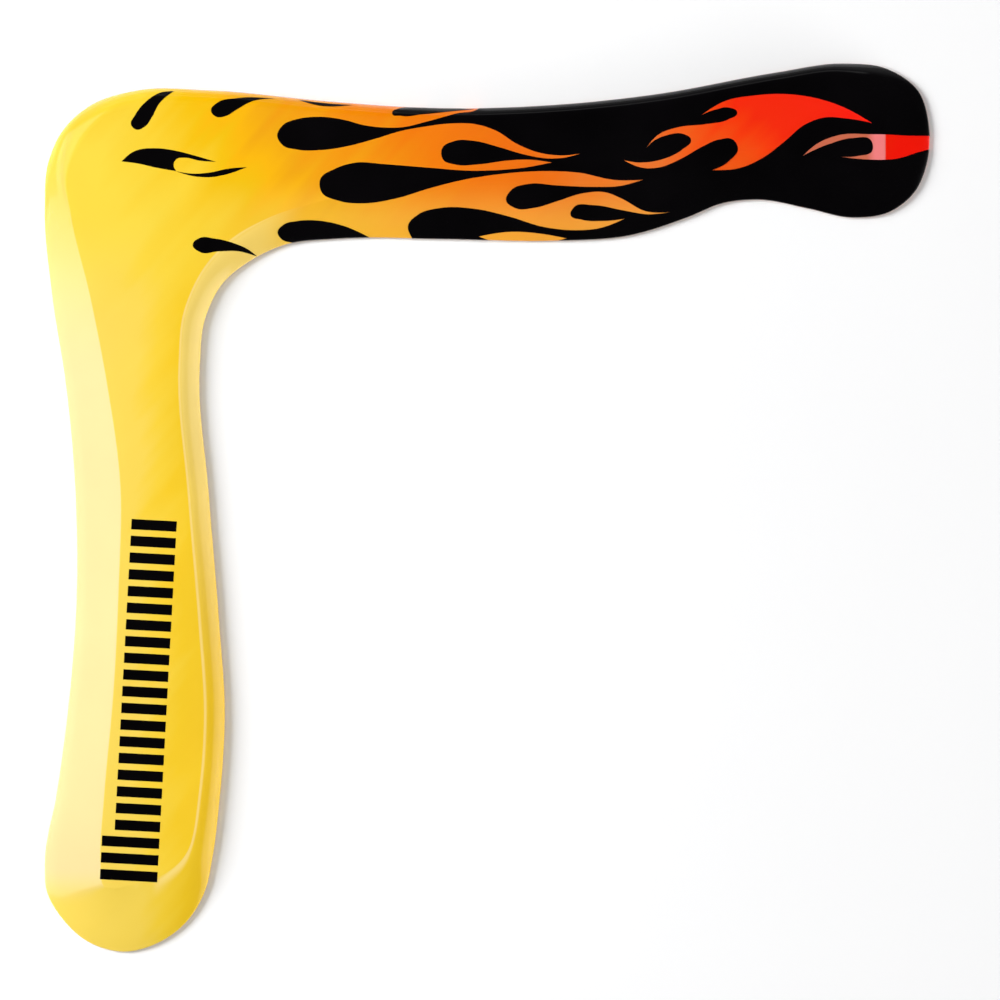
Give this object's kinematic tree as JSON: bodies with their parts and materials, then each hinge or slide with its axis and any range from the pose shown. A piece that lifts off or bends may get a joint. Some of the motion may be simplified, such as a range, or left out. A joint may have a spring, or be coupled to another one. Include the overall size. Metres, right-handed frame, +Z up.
{
  "type": "boomerang",
  "caption": "Right-handed two-armed returning boomerang of shaped birch plywood with a flat underside, bevelled edges and enamelled top.",
  "frame": {"origin": "under the middle of the whole boomerang's box, on the surface it lies on", "axes": "+X out along the upper arm, +Y away from the lower arm's tip, +Z up through the thickness, towards the decorated side"},
  "size_m": [0.2477, 0.2485, 0.0053],
  "materials": {
    "birch": "satin clear lacquer",
    "ground_enamel": "gloss enamel, yellow turning to orange and red",
    "black_enamel": "gloss enamel"
  },
  "bodies": {
    "root": {"veneer_01": "birch", "veneer_02": "birch", "veneer_03": "birch", "veneer_04": "birch", "veneer_05": "birch", "veneer_06": "birch", "veneer_07": "birch", "veneer_08": "birch", "veneer_09": "birch", "veneer_10": "birch", "ground_enamel": "ground_enamel", "black_enamel": "black_enamel"}
  },
  "joints": []
}
